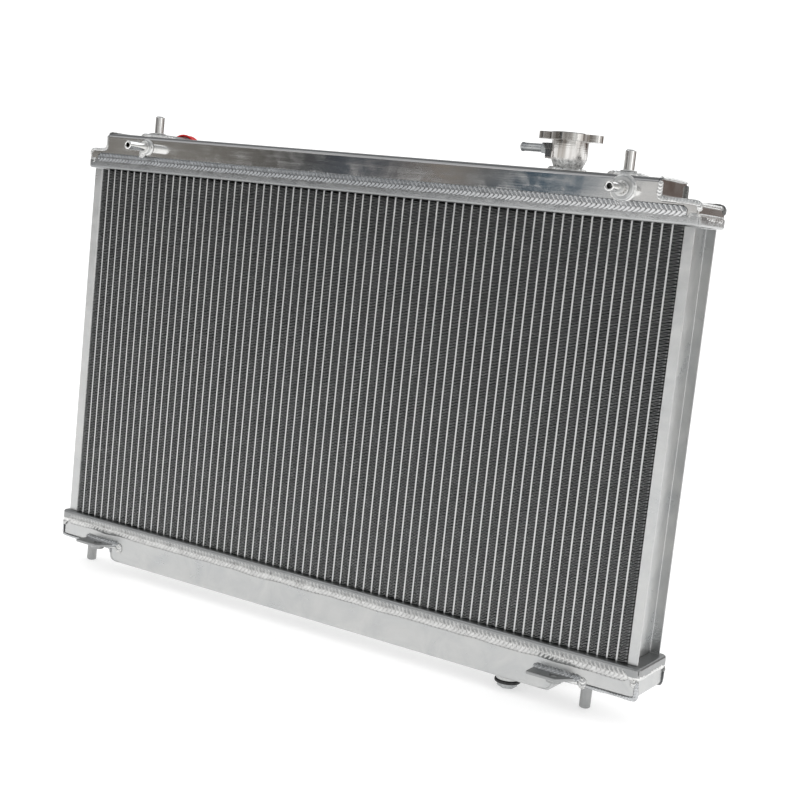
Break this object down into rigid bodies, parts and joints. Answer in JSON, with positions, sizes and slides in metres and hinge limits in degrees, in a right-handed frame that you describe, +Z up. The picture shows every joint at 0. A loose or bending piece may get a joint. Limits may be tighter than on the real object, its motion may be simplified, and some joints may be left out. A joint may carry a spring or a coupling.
{
  "type": "car radiator",
  "caption": "Welded aluminium downflow car radiator with tube and fin core, sheet tanks, filler neck, hose pipes, locating pins and brackets.",
  "frame": {"origin": "middle of the width and of the core's depth, level with the end faces of the two lower pins", "axes": "+Z up, +X along the width towards the filler neck, +Y from the front (grille side) to the rear (engine side)"},
  "size_m": [0.734, 0.1514, 0.5367],
  "materials": {
    "satin_aluminium": "mill-finish sheet, faintly brushed, with heat-dulled edges near the welds",
    "polished_aluminium": "mirror-polished sheet and rod with fine hairlines",
    "brazed_aluminium": "dull brazed sheet with flux bloom",
    "dark_fins": "thin corrugated strip that looks near black between the tubes",
    "cast_aluminium": "turned and polished above, rough and welded at the foot",
    "plated_steel": "zinc-plated, semi-gloss",
    "red_plastic": "soft moulded polythene, faint flow marks",
    "black_rubber": "matt"
  },
  "bodies": {
    "radiator": {"top_header_with_tubes": "brazed_aluminium", "bottom_header_plate": "satin_aluminium", "fin_pack": "dark_fins", "side_plate_left": "satin_aluminium", "side_plate_right": "satin_aluminium", "top_tank_shell": "polished_aluminium", "top_tank_end_left": "polished_aluminium", "top_tank_end_right": "polished_aluminium", "bottom_tank_shell": "satin_aluminium", "bottom_tank_end_left": "satin_aluminium", "bottom_tank_end_right": "satin_aluminium", "filler_neck": "cast_aluminium", "overflow_nipple": "plated_steel", "inlet_pipe": "satin_aluminium", "outlet_pipe": "satin_aluminium", "upper_pin_left": "polished_aluminium", "upper_pin_right": "polished_aluminium", "upper_pin_pad_left": "satin_aluminium", "upper_pin_pad_right": "satin_aluminium", "lower_pin_left": "satin_aluminium", "lower_pin_right": "satin_aluminium", "standoff_left": "polished_aluminium", "standoff_right": "polished_aluminium", "standoff_pad_left": "satin_aluminium", "standoff_pad_right": "satin_aluminium", "lower_bracket_left": "satin_aluminium", "lower_bracket_right": "satin_aluminium", "bracket_bush_left": "satin_aluminium", "bracket_bush_right": "satin_aluminium", "drain_boss": "satin_aluminium"},
    "washer": {"drain_washer": "black_rubber"},
    "plug": {"drain_plug": "plated_steel"},
    "inlet_cover": {"inlet_cap": "red_plastic"},
    "outlet_cover": {"outlet_cap": "red_plastic"}
  },
  "joints": [
    {"name": "drain_drop", "type": "slide", "parent": "radiator", "child": "washer", "axis": [0, 0, -1], "range_m": [0, 0.0165]},
    {"name": "drain_turn", "type": "hinge", "parent": "washer", "child": "plug", "pos_m": [0.2246, -0.01, 0.006], "axis": [0, 0, -1], "range_deg": [0, 3960]},
    {"name": "inlet_cap_pull", "type": "slide", "parent": "radiator", "child": "inlet_cover", "axis": [0, 1, 0], "range_m": [0, 0.03]},
    {"name": "outlet_cap_pull", "type": "slide", "parent": "radiator", "child": "outlet_cover", "axis": [0, 1, 0], "range_m": [0, 0.03]}
  ],
  "couplings": [
    {"joint": "drain_drop", "follows": "drain_turn", "m_per_rad": 0.00023873}
  ]
}
